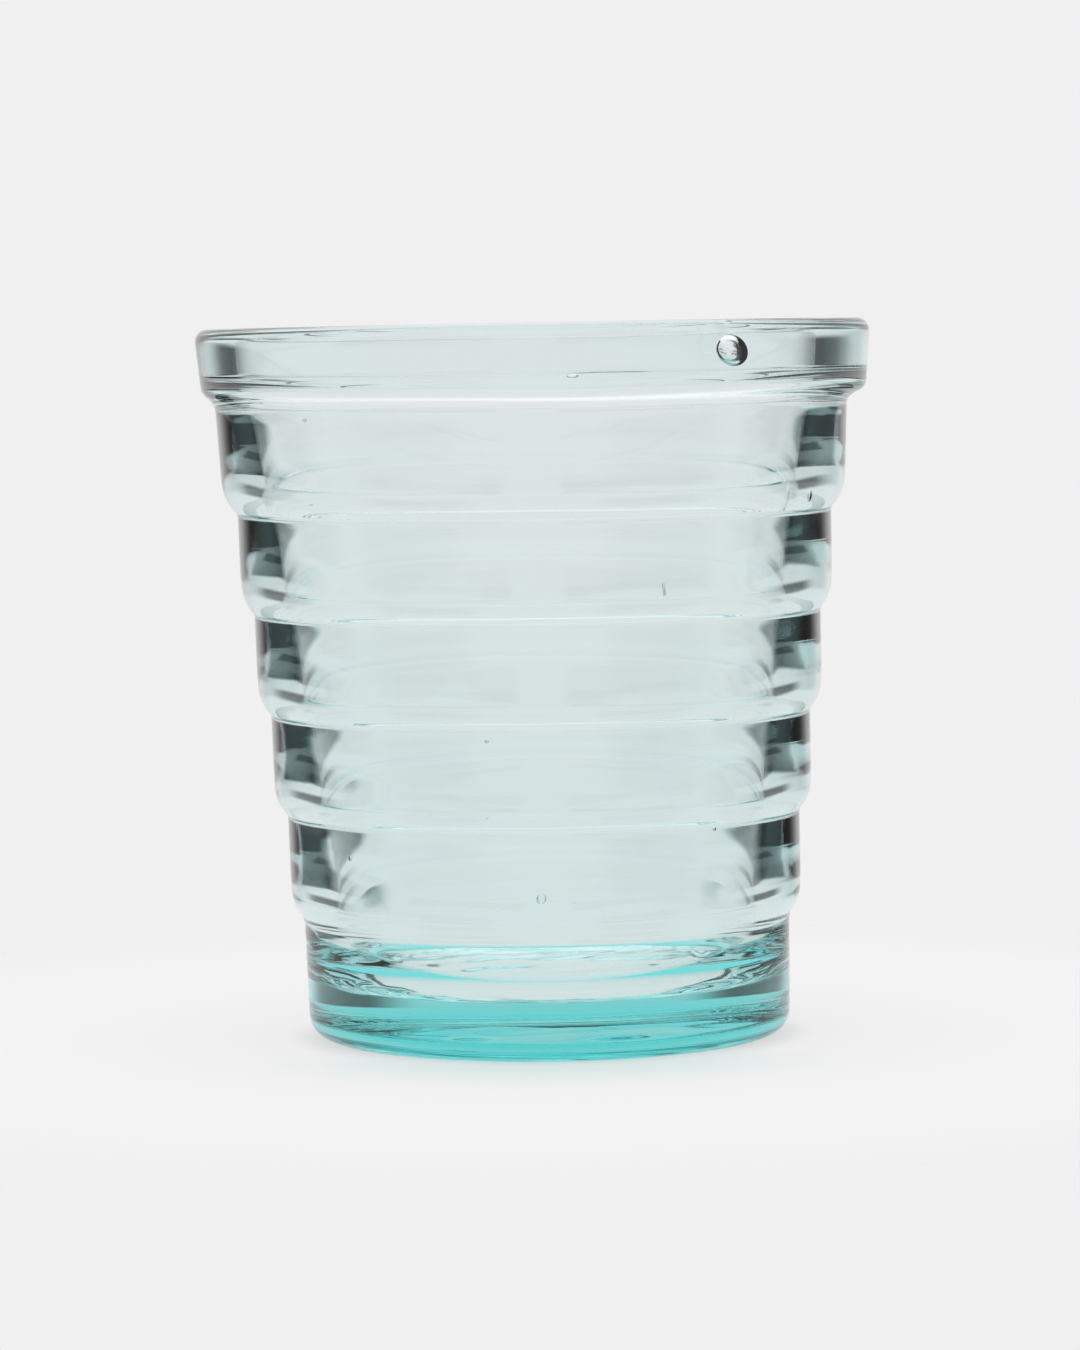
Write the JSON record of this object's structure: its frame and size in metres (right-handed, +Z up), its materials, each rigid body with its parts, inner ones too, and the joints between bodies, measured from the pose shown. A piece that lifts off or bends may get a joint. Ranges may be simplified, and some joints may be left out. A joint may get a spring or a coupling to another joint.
{
  "type": "drinking glass",
  "caption": "Thick pressed-glass tumbler with stepped rings outside, a smooth conical bore, a heavy rim collar and a solid base.",
  "frame": {"origin": "centre of the foot, on the plane that the glass stands on", "axes": "+Z up the axis of the glass and out of the mouth; the glass is round, so +X and +Y are equal"},
  "size_m": [0.085, 0.085, 0.09],
  "materials": {
    "glass": "fire-polished pressed glass, pale aqua, with a few seeds and bubbles"
  },
  "bodies": {
    "root": {"tumbler": "glass"}
  },
  "joints": []
}
